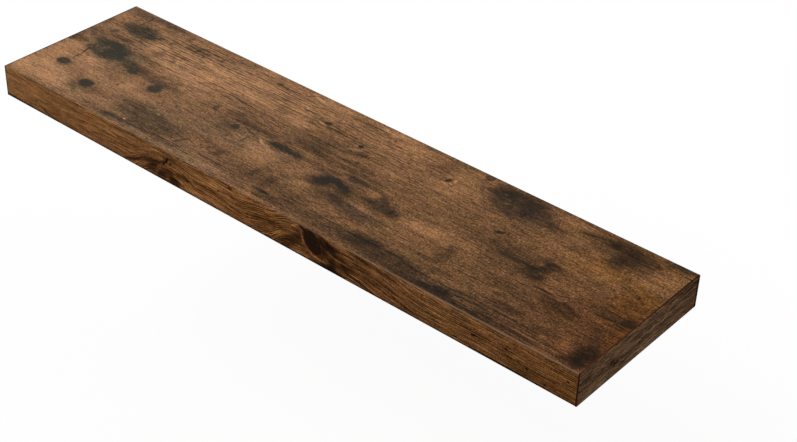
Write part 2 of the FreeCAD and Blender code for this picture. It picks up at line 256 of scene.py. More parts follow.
# Wood decor. Tone 0 is nearly black, 0.5 the middle brown and 1 pale wood.
BROAD_STOPS = even_stops((20, 20, 18), (61, 46, 33), (110, 81, 57), (156, 116, 83), (200, 150, 110))
FRONT_STOPS = even_stops((17, 8, 3), (60, 35, 12), (110, 74, 42), (156, 109, 67), (200, 150, 102))
END_STOPS = even_stops((19, 12, 7), (62, 46, 32), (111, 86, 64), (156, 125, 97), (200, 166, 134))
WARM_TINT = (1.0, 0.81, 0.40)
COOL_TINT = (0.84, 1.0, 1.04)
OLIVE_TINT = (0.995, 1.0, 0.95)
ROSY_TINT = (1.02, 0.985, 1.02)
RED_TINT = (1.03, 0.90, 0.90)
PORES_START, PORES_FULL = 0.07, 0.20


def decor_colour(graph, place, stops, value, warmth, shift):
    """Decor colour for a tone and a warmth, where warmth runs from -1, greenish grey, to 1, orange brown.
    Patches of a slightly olive and a slightly rosy hue vary it."""
    colour = graph.ramp(value, stops)
    for sign, tint in ((1.0, WARM_TINT), (-1.0, COOL_TINT)):
        colour = graph.mix(graph.math("MULTIPLY", warmth, sign, clamp=True), colour, tint, "MULTIPLY")
    patches = face_noise(graph, place, 30, 17, shift, 3.0, 0.6)
    hue = graph.mix(graph.between(patches, 0.38, 0.62), OLIVE_TINT, ROSY_TINT)
    return graph.mix(1.0, colour, hue, "MULTIPLY")


def wood_grain(graph, place, spacing, waviness, shift, fibre_length=9, fibre_width=1.2):
    """Growth lines from 0 to 1, and fibres and bands along the grain, each about 0 on average. The spacing
    of the lines and the size of the fibres are in millimetres."""
    slow = face_noise(graph, place, 150, 22, shift, 3.0)
    phase = graph.math("MULTIPLY", graph.axes(place)[1], 2 * math.pi / (spacing * MM))
    phase = graph.weigh(phase, (slow, waviness))
    lines = graph.between(graph.math("SINE", phase), 0.0, 1.0)
    clear = graph.between(face_noise(graph, place, 45, 5, shift + 3.1), 0.34, 0.58)
    lines = graph.math("MULTIPLY", lines, clear)
    fibres = face_noise(graph, place, fibre_length, fibre_width, shift + 7.7, 2.0, 0.7)
    bands = face_noise(graph, place, 60, 2, shift + 5.3, 2.0, 0.6)
    return lines, graph.math("SUBTRACT", fibres, 0.5), graph.math("SUBTRACT", bands, 0.5)


def patina(graph, place, shift):
    """Uneven dirt and wear: broad clouds, blotches, flecks, a fine mottle and short strokes across the
    grain, each about 0 on average."""
    clouds = face_noise(graph, place, 34, 16, shift + 11.0, 5.0, 0.65)
    blotches = face_noise(graph, place, 11, 6, shift + 12.0, 4.0, 0.65)
    mottle = face_noise(graph, place, 2, 1.5, shift + 13.0, 1.0, 0.7)
    strokes = face_noise(graph, place, 1.5, 5, shift + 17.0)
    flecks = face_noise(graph, place, 4.4, 2.4, shift + 19.0, 2.0, 0.6)
    return [graph.math("SUBTRACT", value, 0.5) for value in (clouds, blotches, flecks, mottle, strokes)]


# Marks by their strength. Each has its place along and across a face and its reach along and across, and
# one that is turned also has its turn in degrees. All but the turn are in hundredths.
# On the top, along counts from the left end and across from the rear edge. The strength of a stain or a
# knot is how fully it covers the wood.
TOP_STAIN_SHARES = {
    -34: [(55.2, 68.2, 1.4, 2.6)],
    -30: [(98.4, 85.2, 0.8, 2.2)],
    -26: [(7.6, 18, 0.6, 1.4), (90.2, 11, 0.8, 1.6)],
    -24: [(9.3, 16.2, 0.6, 1.2), (73.4, 16, 0.9, 2.6), (75.2, 15.8, 0.8, 1.8)],
    -16: [(74.4, 19.4, 1.2, 1.4)],
    -12: [(74.4, 7, 0.8, 2)],
    10: [(46.5, 41, 3.4, 6)],
    14: [(21, 77, 2.6, 5)],
    16: [(15.8, 52.5, 4, 3), (33.5, 47.5, 2.6, 3.4), (34, 58.5, 1.8, 4.5), (79.2, 14, 1.2, 5)],
    20: [(64.6, 72, 1.6, 3.4), (3.6, 42, 1.8, 6), (85.6, 8, 1.8, 1.6, -10), (98, 92, 1.2, 4)],
    22: [(11, 88, 1, 5), (85, 42, 1.6, 4), (70.9, 9, 0.9, 3.4)],
    24: [(12.2, 50.5, 2.6, 5), (56.6, 71, 2, 3), (54.8, 72, 2.8, 2)],
    26: [(19.8, 55, 2.6, 4.5), (3.6, 29, 0.7, 2.6), (39, 50.5, 4, 2.2), (51.6, 66, 1.6, 5),
        (77, 16.5, 1.8, 4.5)],
    30: [(13.8, 52, 1.4, 3), (62, 56, 1.6, 3, 20), (76.4, 9, 1.9, 5.5)],
    32: [(46.4, 51.6, 1.4, 1.2), (74.4, 21.4, 2.2, 2.2)],
    34: [(2.6, 3.4, 3.6, 3.4), (54.6, 62.5, 4.4, 9), (64.6, 63, 1.8, 3.4, 20), (77.8, 95.8, 3.8, 4.2),
        (72.4, 9.5, 1.9, 6), (91.4, 12.5, 2.4, 6), (5.2, 45.5, 1.7, 4)],
    38: [(93.8, 9.5, 2.6, 6)],
    40: [(99.2, 55.2, 1.5, 4.2), (7.2, 19.5, 3.8, 7), (20.4, 95.4, 1.5, 3.4), (42.6, 55.4, 1.6, 2.6),
        (89.1, 8, 0.9, 2.6), (91.2, 20, 1.4, 8)],
    42: [(7.4, 32.4, 1.4, 2.4)],
    44: [(3.8, 18, 1.5, 4.6), (75, 12, 5.4, 12.5)],
    46: [(6.7, 16, 1.1, 2.8)],
    50: [(5.8, 22.8, 1.1, 4.2), (7.6, 47, 4.6, 11.5), (7.2, 54.2, 2, 3.4), (52.8, 64.5, 1.3, 4.6, 8),
        (57, 64.5, 1.2, 2.8, 20), (46.3, 54.8, 1.7, 2.8)],
    52: [(84.4, 98.2, 1.1, 1.8), (23.5, 94.2, 6.2, 2, -2)],
    54: [(84.7, 49.2, 1.7, 2.6, -37)],
    56: [(10.4, 17.8, 0.8, 2.2), (5, 51.8, 1.7, 3.6), (9.6, 42.8, 1.8, 4.6, 15), (60.4, 61.4, 1.5, 2.4),
        (90.2, 7.4, 3.8, 5), (85.6, 55.6, 1.2, 2.2)],
    58: [(62.8, 60.5, 3.4, 5.4, 6)],
    60: [(8.4, 2.4, 5, 3.4)],
    62: [(8.9, 20, 1.3, 3.6)],
    66: [(56.2, 51.2, 2.5, 2.7)],
    68: [(0.4, 51.5, 1, 3)],
    74: [(76.6, 96.2, 1.5, 2.8)],
    78: [(6.8, 41.2, 2.6, 4.6)],
    80: [(8.8, 48.8, 2.7, 7.6), (53.8, 60, 1.9, 4, -12), (55.8, 61, 2, 3, 14), (79, 94.8, 1.9, 3.4),
        (98.6, 88, 1.9, 10.5)],
    92: [(44, 55.2, 3.4, 3.6)],
}
TOP_KNOT_SHARES = {
    -62: [(86.2, 43.6, 0.85, 1.5)],
    -48: [(5.1, 73.2, 0.6, 0.7, -8)],
    -44: [(68.5, 2, 0.42, 1.5)],
    20: [(4.4, 74.5, 0.7, 1.6)],
    28: [(22.2, 63.2, 0.5, 1.4), (46.1, 30, 1.6, 2)],
    32: [(20.3, 55.4, 0.9, 2.2), (22.3, 15, 0.35, 1.2), (13.5, 30.5, 1.1, 3.6), (11.9, 89.8, 0.4, 1.2),
        (84.6, 50.5, 0.9, 2.4)],
    36: [(16.7, 15.8, 0.7, 2.2, 30), (14.2, 85.8, 0.4, 1.4)],
    40: [(61.7, 13.6, 1.6, 1, -8), (88.9, 18, 0.3, 0.9), (80.6, 16.2, 0.3, 1)],
    44: [(2, 40.5, 0.8, 2.5), (3.6, 29.5, 0.7, 3.2, 20), (42.5, 18.9, 0.4, 1.4)],
    48: [(12.5, 17, 0.35, 2.4), (38.5, 62, 0.26, 5.2, 4), (38.6, 66.3, 0.34, 1), (46.2, 75.6, 1.1, 1.1, 4)],
    52: [(16.6, 31.5, 0.45, 1.8), (38.4, 82, 0.7, 4), (53.5, 39, 0.5, 1.6), (58.4, 26.3, 0.3, 1),
        (89.2, 7.5, 0.7, 2.6), (32.6, 86, 0.42, 6.4, 30)],
    56: [(15.6, 70.2, 0.34, 1.3), (96.6, 41.6, 0.3, 0.9)],
    60: [(18.6, 16, 0.35, 1.3), (30.1, 50.3, 0.5, 3.6, -20), (97.1, 36.2, 0.3, 1.5), (99, 55.4, 1.3, 4.2)],
    64: [(21.5, 10.8, 0.45, 1.5)],
    68: [(68.5, 2.6, 0.8, 3)],
    72: [(32.1, 7.8, 0.75, 2), (94.9, 42.2, 0.3, 0.9)],
    84: [(35.4, 57, 0.85, 3.2)],
    86: [(86, 43, 1.5, 3.4)],
    88: [(44.1, 20.4, 0.75, 2.1, -12)],
    90: [(14.4, 55.4, 1.2, 2.8)],
    92: [(64.8, 19, 0.42, 2.8, 35)],
    94: [(20.2, 59.8, 1.45, 4.8)],
    96: [(16.9, 12.6, 0.32, 2, 8), (4.95, 72.9, 1.35, 4.4)],
    100: [(12.1, 81.4, 1.55, 5.3), (76.8, 37.9, 0.85, 1.7, -20)],
    104: [(51.2, 25.7, 0.5, 2, -20)],
}
# Lighter and darker patches
TOP_PATCH_SHARES = {
    -22: [(1.2, 49, 2.6, 4.5), (69.5, 92, 8, 9)],
    -20: [(13.5, 49.5, 4, 5), (76.5, 99, 7, 5), (97.5, 1.5, 3, 2)],
    -19: [(26, 85, 7.5, 12)],
    -18: [(84.8, 54.5, 2.6, 6), (4.3, 42, 1.5, 4), (98, 96, 2.5, 5)],
    -17: [(12.2, 84, 3.4, 10)],
    -16: [(6.9, 20, 5, 10), (60.4, 74.5, 5, 5), (46.8, 57, 1, 3), (85.8, 47, 1.2, 5), (65.5, 86, 3.4, 4)],
    -15: [(52.8, 86, 3, 7), (50, 94, 3, 4)],
    -14: [(52.3, 32.5, 2.4, 3.2), (52.6, 65, 1.8, 8), (86, 98, 9, 5), (0.3, 24, 1, 8), (6, 32.5, 2.5, 3),
        (58, 70, 3, 4), (72, 5, 2.5, 5), (31.5, 94, 4, 4), (79.5, 92.5, 4, 4), (47.2, 5, 3, 3.4),
        (14.5, 67, 2.4, 3.6), (98.4, 84, 3, 14)],
    -13: [(47.5, 84, 4, 8)],
    -12: [(18.5, 53, 7, 5), (24.7, 36, 1.8, 3.5), (46.5, 42, 4.5, 8), (40.5, 51, 7, 4), (75.5, 13.5, 7, 14),
        (91.5, 12, 5.5, 12), (81.3, 17, 2.6, 5.5), (81, 47, 7, 8), (90.6, 66, 4, 7), (9, 6, 2, 4),
        (13.7, 7, 1, 3), (70.5, 10, 1.2, 3), (54, 41, 5, 3), (4.5, 64, 4, 2.4), (74.8, 69.5, 1.4, 14)],
    -10: [(1, 36, 2, 5), (8.5, 38, 7, 7), (17, 95, 8, 5), (4.9, 72.6, 2.2, 8), (16.4, 12.5, 2.6, 5.5),
        (60, 93, 7, 7), (92.8, 85.5, 2.6, 4.4), (0.5, 43, 1.2, 6), (15.5, 15, 1, 2), (12.5, 55, 2, 3.5),
        (56.5, 62, 4.5, 10), (61, 55, 1.5, 3), (52.8, 31, 1, 5), (97, 12, 1.5, 3), (14.5, 40.5, 3, 4),
        (52, 47, 8, 4), (51, 56, 5, 4), (34.5, 62, 2, 6), (55.5, 73, 3, 6), (86, 84, 4, 4),
        (11, 90.5, 2, 3), (32.4, 5, 3, 4), (63, 90, 4, 6), (76, 4, 3, 5), (84.5, 78, 1.5, 3),
        (56, 80, 1.2, 2.4), (45.2, 80, 0.7, 7)],
    -9: [(35, 47.5, 4.2, 6.5)],
    -8: [(22, 80, 3.5, 8), (4.5, 6, 5, 3), (47, 35, 6, 5), (35, 55, 4, 6), (33, 77, 5, 3.5), (43, 86, 4, 8),
        (62.5, 64, 4, 3.4), (84, 70, 5, 5), (85.5, 92, 8, 8), (96, 57.5, 4, 4), (74.5, 84, 4, 3),
        (87, 74, 3, 3), (58, 51.5, 4, 3), (54, 93, 8, 6), (80, 51, 7, 5), (86, 85, 4, 3), (37.5, 80, 3, 6),
        (77, 37.5, 2.4, 2), (5, 34, 3.6, 3), (48, 82, 0.8, 9), (63.5, 10, 2.4, 5)],
    -7: [(78, 57, 6, 4), (98, 68, 3, 8)],
    -6: [(16, 82, 3, 5), (73, 5, 3, 5), (4.5, 14, 5, 14), (96, 55, 6, 10), (93, 91.5, 3.6, 4),
        (97.2, 43, 2.4, 5)],
    -5: [(46, 22, 3.2, 4.5), (32, 31, 3.4, 7), (28, 94, 4, 4), (57, 45, 5, 5), (92, 72, 9, 12),
        (91, 58, 3, 4)],
    -4: [(50, 8, 4, 3.4)],
    3: [(40, 6, 34, 10), (36, 16, 14, 12)],
    4: [(33, 12, 12, 6), (67.5, 42.5, 4, 6), (5, 81, 4, 6), (10.5, 29, 3, 6)],
    5: [(38.2, 63, 2.4, 6), (56.5, 32, 2, 3), (85, 15, 2.2, 8), (66, 26, 5, 6), (10, 90, 8, 10),
        (16, 20, 7, 6), (23.5, 39, 4, 6), (56, 95, 3, 4)],
    6: [(59, 8, 6, 6), (62, 28, 13, 16), (59.6, 55, 1.4, 4), (24, 12, 3, 6), (41, 32, 3, 4), (14, 77, 4, 6),
        (69, 65, 6, 10), (70, 75, 6, 4), (33, 17, 5, 5), (58, 35, 4, 3), (94, 27, 6, 9), (4, 68, 6, 14),
        (47, 34, 3, 2.4), (67.5, 56.5, 2, 3), (31.5, 45, 3, 4)],
    7: [(92, 53, 3, 6)],
    8: [(1.4, 14.5, 2.6, 6), (11.5, 13, 2.5, 3), (23, 20.5, 4, 4), (40, 4, 6, 3), (47, 12, 14, 12),
        (37, 95.5, 10, 4), (88.5, 19, 2, 5), (88.3, 38, 2.4, 4.5), (88.3, 53.5, 1.8, 4.5), (26, 32, 4, 8),
        (37, 24, 4, 5), (57, 14, 6, 12), (99, 35, 1.5, 5), (83.5, 37, 2, 4), (7, 67, 5, 8), (18, 87, 3, 4),
        (50, 2, 5, 3), (66, 28, 3, 4), (82, 9, 3, 5), (16, 71, 9, 8), (13.5, 83, 2.5, 5), (29, 2.5, 3, 3),
        (27, 11, 5, 3), (34, 22, 4, 3), (39, 19, 4, 9), (32.5, 34, 2.6, 3), (10.5, 33, 2.4, 6),
        (69.2, 61.5, 3, 4.5), (94.4, 11, 1.2, 5)],
    9: [(26, 42, 6, 5), (89.5, 31, 5, 9)],
    10: [(25, 48.5, 4, 4.5), (8.5, 62, 3.4, 6), (2.4, 64, 3, 9), (82.5, 5, 3.6, 4.5), (29, 17, 6, 5),
        (83.5, 29, 5, 5), (96, 25, 2, 4), (2, 78, 4, 10), (1, 92, 2, 8), (13, 93, 3, 6), (2, 56, 3, 4),
        (48.5, 66, 2, 7), (32, 3, 5, 5), (41.5, 3, 6, 5), (68, 18, 4, 10), (92.5, 36, 2.6, 4),
        (30.5, 30, 4, 10), (18.4, 92, 1.8, 3.4), (3.5, 16.5, 1.6, 3.6)],
    12: [(16, 66.5, 3.2, 6), (29, 26, 8, 7), (51, 73, 2, 4), (34, 30, 6, 4)],
    13: [(22, 20, 10, 6.5), (66, 8.5, 3.4, 9), (7.2, 7.2, 2.6, 2.6)],
    14: [(71.5, 60, 6, 7), (76.5, 58, 2.5, 5)],
    16: [(5, 88, 9, 12), (97.8, 16, 3, 12)],
    17: [(19.3, 34, 8, 12)],
    18: [(41, 29.5, 3.2, 6), (42.4, 67, 3.6, 9), (54, 2.5, 3.4, 4.5)],
    20: [(12.5, 26.5, 2.6, 5)],
}
# Small pale chips and worn spots
TOP_LIGHT_SHARES = {
    -20: [(50.6, 5.4, 0.5, 0.8)],
    8: [(21.5, 39.6, 2.6, 0.6)],
    10: [(6.9, 81.6, 1.6, 0.9), (19.5, 37.5, 3, 0.7)],
    12: [(52, 4.4, 2.2, 2.2), (88.5, 59.6, 1.4, 0.6, -10), (92.8, 89.6, 0.8, 1.6), (95.5, 89, 0.8, 1.6),
        (75, 14.5, 0.6, 1.2)],
    14: [(6.8, 36.6, 0.7, 1), (59.5, 68.5, 3.6, 1.8), (39, 4.5, 2.4, 1.2, 18), (72.4, 9, 0.6, 1),
        (65.5, 20.6, 0.7, 0.7, 20)],
    16: [(9.2, 85.6, 1.2, 1.2), (60.3, 55, 0.9, 3.6), (73, 12, 0.8, 1.6)],
    18: [(51, 3.2, 0.6, 0.8), (53.4, 3, 0.7, 0.7)],
    20: [(64.4, 16.4, 0.8, 0.7, -15), (90.5, 62, 0.8, 1.2, -20), (66.2, 64.6, 0.4, 0.9)],
    22: [(65.6, 17.2, 0.4, 2.2, -35), (51.2, 29.6, 0.9, 0.7), (73.6, 15, 0.5, 0.9),
        (41.2, 59, 1.3, 0.9, 8)],
    24: [(64.9, 22.6, 0.9, 0.7), (40.4, 57.4, 1, 1.2, 30)],
    30: [(94.5, 38.6, 0.5, 0.6)],
    34: [(38.9, 67, 0.42, 0.6)],
    38: [(43.6, 22.6, 1.1, 0.6)],
    60: [(23.1, 92.3, 0.28, 0.6)],
}
# Cracks and long thin lines
TOP_CRACK_SHARES = {
    -36: [(4.9, 56, 0.2, 6, -12), (80.7, 75.9, 3.2, 0.42, -3)],
    -34: [(88, 61.4, 2, 0.55)],
    -28: [(15.5, 23.6, 6.5, 0.35)],
    -26: [(5.25, 64.5, 0.16, 5, -3), (40, 89.4, 5, 0.5, -1), (96.6, 58.6, 2.8, 0.5, -5),
        (98.6, 60, 1.2, 0.6, 5), (56.6, 87.5, 2.2, 0.45, 1), (60, 88, 2.4, 0.45, 1)],
    -24: [(15, 21.6, 6, 0.35), (63.6, 88.5, 2.2, 0.45)],
    -22: [(46.5, 35.8, 6, 0.5, -1), (72.7, 78.4, 2.6, 0.5, -2), (96.8, 53.4, 2.6, 0.5, 4),
        (85.6, 8.6, 2.2, 1, -12), (66.8, 88, 2, 0.45, -3), (34.6, 8.3, 2.6, 0.55, -2)],
    -20: [(5, 7, 0.22, 8), (47, 18, 4, 0.4, 2), (74, 90, 3.5, 0.5, 3), (53.6, 86.7, 2, 0.45, 3),
        (25.5, 11.2, 5.5, 0.5, -2)],
    -18: [(37, 9.6, 8, 0.5, 2), (38, 18, 10, 0.4), (31, 22.4, 8, 0.35), (86, 89.5, 7, 0.5, 1),
        (37.8, 4.4, 1.7, 0.6, -38)],
    -16: [(30, 91.6, 5, 0.5, -2), (52.3, 41.2, 2, 0.6), (66.5, 5.2, 6, 0.4, 7), (88, 93, 8, 0.45, 1),
        (90, 96.5, 8, 0.45, 1), (70, 87.6, 2.2, 0.45), (48.6, 91.8, 1.8, 1.6)],
    -14: [(70.5, 11.8, 4, 0.4, 8)],
    16: [(14, 20.2, 4, 0.3), (16, 22.6, 6, 0.3)],
}
# Where the growth lines stand out
TOP_LINE_SHARES = {
    -12: [(1.5, 90, 8, 16)],
    20: [(62, 32, 12, 12)],
    26: [(38, 46, 24, 16), (40, 96, 20, 8), (95, 8, 8, 9)],
    40: [(86, 94, 15, 9)],
    46: [(47, 17, 18, 20)],
    62: [(22, 22, 22, 26)],
}
# Where the wood is warmer or cooler than around it
TOP_WARM_SHARES = {
    -55: [(8, 46, 7, 16), (25, 84, 9, 14)],
    -50: [(7.5, 20, 5, 12), (78.1, 95, 4.6, 5)],
    -45: [(12.1, 81.2, 1.8, 6), (54.4, 61, 3.4, 7), (29, 97, 16, 5), (12.5, 50, 4.5, 14)],
    -40: [(20.1, 59.6, 1.9, 6), (39, 63, 10, 14)],
    -35: [(4.9, 72.6, 1.6, 5), (44.3, 55.4, 3.6, 4), (14.3, 55.2, 1.6, 4), (35.4, 57, 1.4, 4.4)],
    -32: [(12, 91, 5, 7)],
    -30: [(60.4, 73, 6, 6), (75, 15, 7, 13), (29, 70, 8, 12), (36, 93, 9, 8)],
    -15: [(54, 58, 6, 6)],
    8: [(87, 40, 5, 8)],
    10: [(2.2, 62, 3, 14)],
    12: [(8.5, 92, 4, 8)],
    14: [(2, 88, 6, 16)],
    20: [(1.4, 14.5, 2.6, 8), (90.6, 68, 4, 8)],
    22: [(97, 68, 6, 34)],
    25: [(7.4, 7.8, 3, 4.5), (92, 6, 9, 6)],
    30: [(42.4, 67, 3.6, 9), (91, 28, 7, 10)],
    50: [(99.4, 66, 1.6, 14)],
    60: [(97.4, 40, 3.4, 17)],
}


def face_place(graph, along, across):
    """Where a point lies on a flat face, in metres along it and across it. along and across each have an
    axis, a sign and the value that counts as 0."""
    values = graph.axes(graph.object_place())
    measured = []
    for axis, sign, start in (along, across):
        measured.append(graph.math("MULTIPLY_ADD", values[axis], sign, -sign * start))
    return measured[0], measured[1], graph.point(*measured, 0.0)


def stained(graph, cover, *textures):
    """How dark a stain is where its marks cover the wood by so much. Its edges break up in the textures."""
    spread = graph.between(cover, 0.0, 0.30)
    broken = graph.math("MULTIPLY", graph.weigh(0.0, *textures), spread)
    return graph.stretch(graph.math("ADD", cover, broken), 0.04, 1.10)


def decor_material(name, along_from, across_from, shift, gain):
    """The worn, stained plank decor of the two broad faces. gain is how clearly its marks show."""
    graph = new_material(name)
    along, across, place = face_place(graph, along_from, across_from)
    size = (LENGTH, DEPTH)
    soft = wander(graph, place, (22, 3.2), (7, 2.2), (2.5, 1.0))
    firm = wander(graph, place, (12, 1.0), (3, 0.9))
    clouds, blotches, flecks, mottle, strokes = patina(graph, place, shift)
    lines, fibres, bands = wood_grain(graph, place, 4.4, 22.0, shift)
    clear = add_marks(graph, soft, size, TOP_LINE_SHARES, 0.0, 0.16, gain)
    pores = graph.between(fibres, PORES_START, PORES_FULL)
    lines = graph.math("MULTIPLY", lines, clear)
    streaks = graph.weigh(0.0, (clear, 0.05), (lines, -0.38), (fibres, 1.1), (pores, -0.12), (bands, 0.42))
    speckle = graph.weigh(0.0, (mottle, 0.78), (strokes, 0.38), (flecks, 0.30))
    fine = graph.weigh(0.02, (streaks, graph.stretch(clear, 0.0, 0.8, 0.62, 1.18)))
    speckle = graph.math("MULTIPLY", speckle, graph.stretch(clear, 0.25, 0.8, 1.0, 0.78))
    fine = graph.weigh(fine, (speckle, graph.stretch(along, 0.0, LENGTH, 0.95, 1.2)))
    cover = add_marks(graph, soft, size, TOP_STAIN_SHARES, 0.1, 0.0, gain)
    stain = stained(graph, cover, (mottle, 1.8), (flecks, 3.2), (blotches, 1.3), (clouds, 0.5),
                    (fibres, 1.2))
    cover = add_marks(graph, firm, size, TOP_KNOT_SHARES, 0.45, 0.0, gain)
    knot = stained(graph, cover, (mottle, 1.0), (flecks, 1.0), (fibres, 0.5))
    dark = graph.weigh(stain, (knot, graph.math("SUBTRACT", 1.0, stain)))
    value = graph.stretch(along, 0.0, LENGTH, 0.58, 0.385)
    value = graph.weigh(value, (clouds, 0.36), (blotches, 0.32))
    value = add_marks(graph, soft, size, TOP_PATCH_SHARES, 0.0, value, gain)
    value = add_marks(graph, firm, size, TOP_LIGHT_SHARES, 0.20, value, gain)
    value = add_marks(graph, firm, size, TOP_CRACK_SHARES, 0.15, value, gain)
    rear_arris = graph.between(across, 1.6 * MM, 0.4 * MM)
    value = graph.weigh(value, (rear_arris, graph.stretch(along, 0.3 * LENGTH, LENGTH, 0.0, -0.22)))
    value = graph.weigh(value, (fine, graph.stretch(value, 0.05, 0.45, 0.45, 1.0)))
    warmth = graph.stretch(along, 0.0, LENGTH, -0.14, 0.52)
    warmth = add_marks(graph, soft, size, TOP_WARM_SHARES, 0.0, warmth, gain)
    # At the left the dark parts are cooler than the light ones, at the right warmer
    swing = graph.weigh(0.0, (clouds, 1.0), (blotches, 0.8), (bands, 0.4), (fine, 0.8))
    warmth = graph.weigh(warmth, (swing, graph.stretch(along, 0.0, LENGTH, 1.25, -0.6)))
    colour = decor_colour(graph, place, BROAD_STOPS, value, warmth, shift + BROAD_HUE_SHIFT)
    # The front corner at the right is a little redder
    redness = graph.math("MULTIPLY", graph.stretch(along, 0.80 * LENGTH, 0.98 * LENGTH),
                         graph.stretch(across, 0.30 * DEPTH, 0.55 * DEPTH))
    colour = graph.mix(redness, colour, RED_TINT, "MULTIPLY")
    # Dirt in the stains and knots: greenish grey at one end of the face, dark brown at the other
    dirt = graph.mix(graph.stretch(along, 0.0, LENGTH), tone(46, 46, 39), tone(28, 17, 9))
    thickness = graph.math("MULTIPLY", graph.math("POWER", dark, 0.72), 0.97)
    colour = graph.mix(thickness, colour, dirt)
    roughness = graph.weigh(0.56, (fibres, 0.16), (mottle, 0.10))
    height = graph.weigh(0.5, (fibres, 1.0), (lines, -0.3), (bands, 0.4), (pores, -0.3))
    return finish_material(graph, colour, roughness, height, 0.12, 0.35, {"Specular IOR Level": 0.03})


def top_decor_material():
    return decor_material("top_decor_foil", (0, 1, shelf_low.x), (1, -1, shelf_high.y), TOP_SHIFT, 1.0)


def bottom_decor_material():
    """The same decor on the underside, turned end for end, with fainter stains."""
    return decor_material("bottom_decor_foil", (0, -1, shelf_high.x), (1, 1, shelf_low.y), BOTTOM_SHIFT, 0.8)


# Marks on the front band, with along from the left end and across from the top
FRONT_DARK_SHARES = {
    -36: [(8.4, 83, 1.9, 3.5, 21)],
    -32: [(34.8, 88, 1.4, 20, -10)],
    -28: [(10.6, 93, 1.2, 2.5, 14), (1.2, 95, 2.5, 8)],
    -26: [(31.2, 54, 1.9, 11, -30)],
    -24: [(39.6, 66, 1.2, 3), (55.6, 72, 3.6, 24, -36)],
    -22: [(70.2, 68, 4, 3, 11), (74.2, 80, 3.5, 2.6, 12), (68, 88, 4, 6, 12)],
    -20: [(62.8, 90, 2.2, 12), (5, 98, 7, 6), (28.6, 65, 3.6, 11, -20), (63, 76, 0.9, 30, 14),
        (32.2, 88, 1.2, 18, -20), (36.6, 56, 2, 11), (30.4, 74, 1.7, 14, -20)],
    -18: [(91.6, 57, 0.6, 3)],
    -16: [(26, 88, 2.6, 6, -20), (65, 52, 3, 14, 14), (37.3, 60, 0.5, 5)],
    -15: [(52.6, 48, 3.6, 17, -10)],
    -14: [(30, 88, 3, 14, -10), (71.4, 50, 4.5, 2.6, 10), (90.2, 62, 1.2, 6), (62.2, 16, 2, 10, 20),
        (90, 98, 12, 5), (32.8, 38, 1.1, 14, -50)],
    -13: [(21.5, 42, 5, 2.4), (34, 67, 2.6, 17, -15)],
    -12: [(23.6, 58, 3, 2.6, 2), (61, 94, 3, 8), (33.2, 74, 2, 24), (64.8, 72, 1.4, 22, 20),
        (33.8, 14, 1.6, 12), (62.6, 30, 1.4, 14, 35)],
    -11: [(70, 15, 5, 12, 4)],
    -10: [(14, 20, 2.5, 4), (24, 88, 4, 8), (63.2, 30, 2.4, 18, 20), (62, 50, 2.4, 60),
        (53, 88, 3, 10, -20)],
    -9: [(95, 80, 8, 24), (84.5, 50, 3.6, 14)],
    -8: [(13, 90, 6, 10), (75.2, 92, 3.5, 12), (95, 12, 3, 10), (61.6, 40, 0.7, 26, 10),
        (41.5, 50, 4.5, 15)],
    -6: [(10, 60, 2.5, 20, 10), (35, 20, 5, 18), (68, 60, 4, 30), (27, 45, 1.8, 20), (66, 74, 2.6, 10, 20)],
    -5: [(67.5, 34, 3.4, 12, 10), (47, 52, 3, 12), (16, 84, 4, 12)],
    -4: [(66, 40, 2.6, 14, 14)],
}
FRONT_SPECK_SHARES = {
    -55: [(89.8, 42, 0.3, 3.2), (98.5, 39, 0.28, 3), (92.9, 68, 0.28, 3), (95.5, 87, 0.28, 3),
        (82.4, 87, 0.4, 2.8)],
    -50: [(33.4, 27, 0.62, 5.5, -65)],
    -38: [(32.8, 41, 0.45, 4.5, -60)],
    -30: [(45.2, 6, 0.6, 4), (85.2, 52, 0.5, 3, -10), (57.9, 9, 0.8, 7, 30)],
    -26: [(73, 73, 0.3, 3), (34.1, 33, 0.55, 3.4, -50)],
    -20: [(85, 53, 0.5, 5, -20), (77.2, 17, 0.35, 3), (43, 36, 0.35, 4, -25), (61, 22, 1, 9, 40)],
}
FRONT_LIGHT_SHARES = {
    3: [(2, 50, 5, 60), (31, 18, 6, 14), (74, 26, 4, 14)],
    4: [(52.6, 94, 2, 6, -12), (86, 30, 9, 16), (80, 55, 4, 40), (22, 26, 4, 22)],
    5: [(53.6, 84, 2.2, 10, -16), (84, 10, 8, 4), (37, 20, 3, 14), (84, 14, 5, 14)],
    6: [(43, 24, 5, 7), (80, 38, 9, 4), (60, 90, 2.4, 7), (5, 32, 8, 20), (66.5, 54, 2.6, 14, 12)],
    7: [(37, 74, 2, 6, -6)],
    8: [(40.5, 84, 3.4, 9), (48, 14, 5, 12)],
    9: [(22, 28, 4, 16)],
    10: [(37.6, 84, 1.4, 12, -8), (54, 52, 3.4, 5, -36)],
    11: [(41, 86, 5, 16)],
    12: [(66.6, 74, 2, 4, 12), (57.85, 46, 0.28, 18, -12)],
    14: [(41, 16, 5.5, 18), (32.5, 31, 0.3, 6)],
    20: [(60.6, 79, 1.5, 6, 4)],
    22: [(56.6, 12, 0.8, 5, -24)],
}
# How far the grain rises round the knots, in hundredths of the height
FRONT_RISE_SHARES = {
    12: [(40, 80, 8, 95)],
    32: [(57.6, 60, 5.5, 140)],
    34: [(61.5, 40, 16, 160)],
    46: [(32.6, 80, 6.5, 95)],
}
# The big knot of the front band: place along and across, reach along and across, turn
FRONT_KNOT_SHARES = (59.6, 37.0, 2.0, 29.5, 50)


